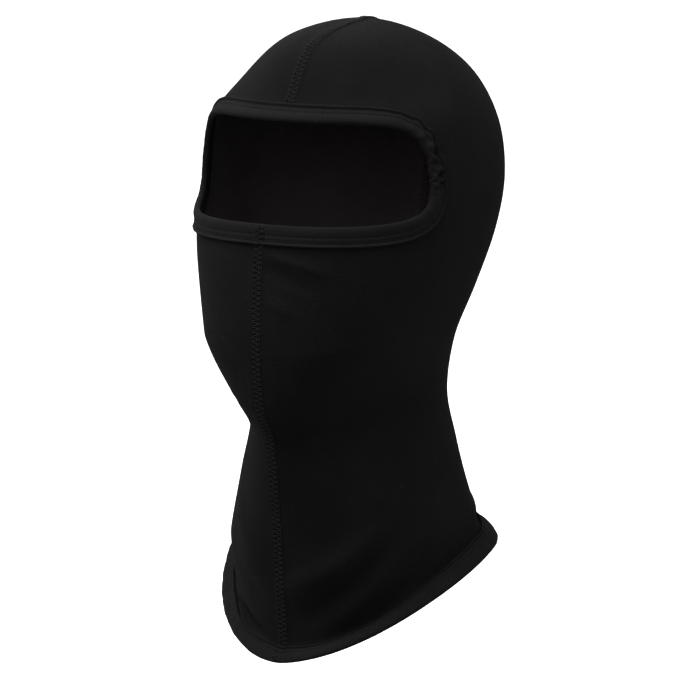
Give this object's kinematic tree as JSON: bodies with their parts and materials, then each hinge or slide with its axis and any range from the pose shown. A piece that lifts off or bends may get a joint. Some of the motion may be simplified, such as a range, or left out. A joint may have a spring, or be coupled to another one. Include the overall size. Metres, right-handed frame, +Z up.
{
  "type": "balaclava",
  "caption": "Close-fitting stretch-knit balaclava for head and neck, with a bound eye opening, a bound flared hem and flatlock seams down the face and over the crown.",
  "frame": {"origin": "top of the crown, where the hood rests on the wearer's head", "axes": "+Z up, the face looks along -Y, +X is the wearer's left; the head leaves through the hem along -Z"},
  "size_m": [0.1644, 0.2143, 0.3482],
  "materials": {
    "jersey": "matte black stretch jersey with a faint sheen at grazing angles",
    "binding_cloth": "matte black jersey, folded double",
    "thread": "black spun sewing thread",
    "label_tape": "smooth black woven tape, blank"
  },
  "bodies": {
    "root": {"left_panel": "jersey", "right_panel": "jersey", "eye_binding": "binding_cloth", "hem_binding": "binding_cloth", "front_seam_needle_thread_1": "thread", "front_seam_needle_thread_2": "thread", "front_seam_needle_thread_3": "thread", "front_seam_needle_thread_4": "thread", "front_seam_cover_thread": "thread", "front_seam_looper_thread": "thread", "crown_seam_needle_thread_1": "thread", "crown_seam_needle_thread_2": "thread", "crown_seam_needle_thread_3": "thread", "crown_seam_needle_thread_4": "thread", "crown_seam_cover_thread": "thread", "crown_seam_looper_thread": "thread", "eye_binding_needle_thread_1": "thread", "eye_binding_needle_thread_2": "thread", "eye_binding_looper_thread": "thread", "hem_binding_needle_thread_1": "thread", "hem_binding_needle_thread_2": "thread", "hem_binding_looper_thread": "thread", "care_label": "label_tape", "care_label_stitch": "thread"}
  },
  "joints": []
}
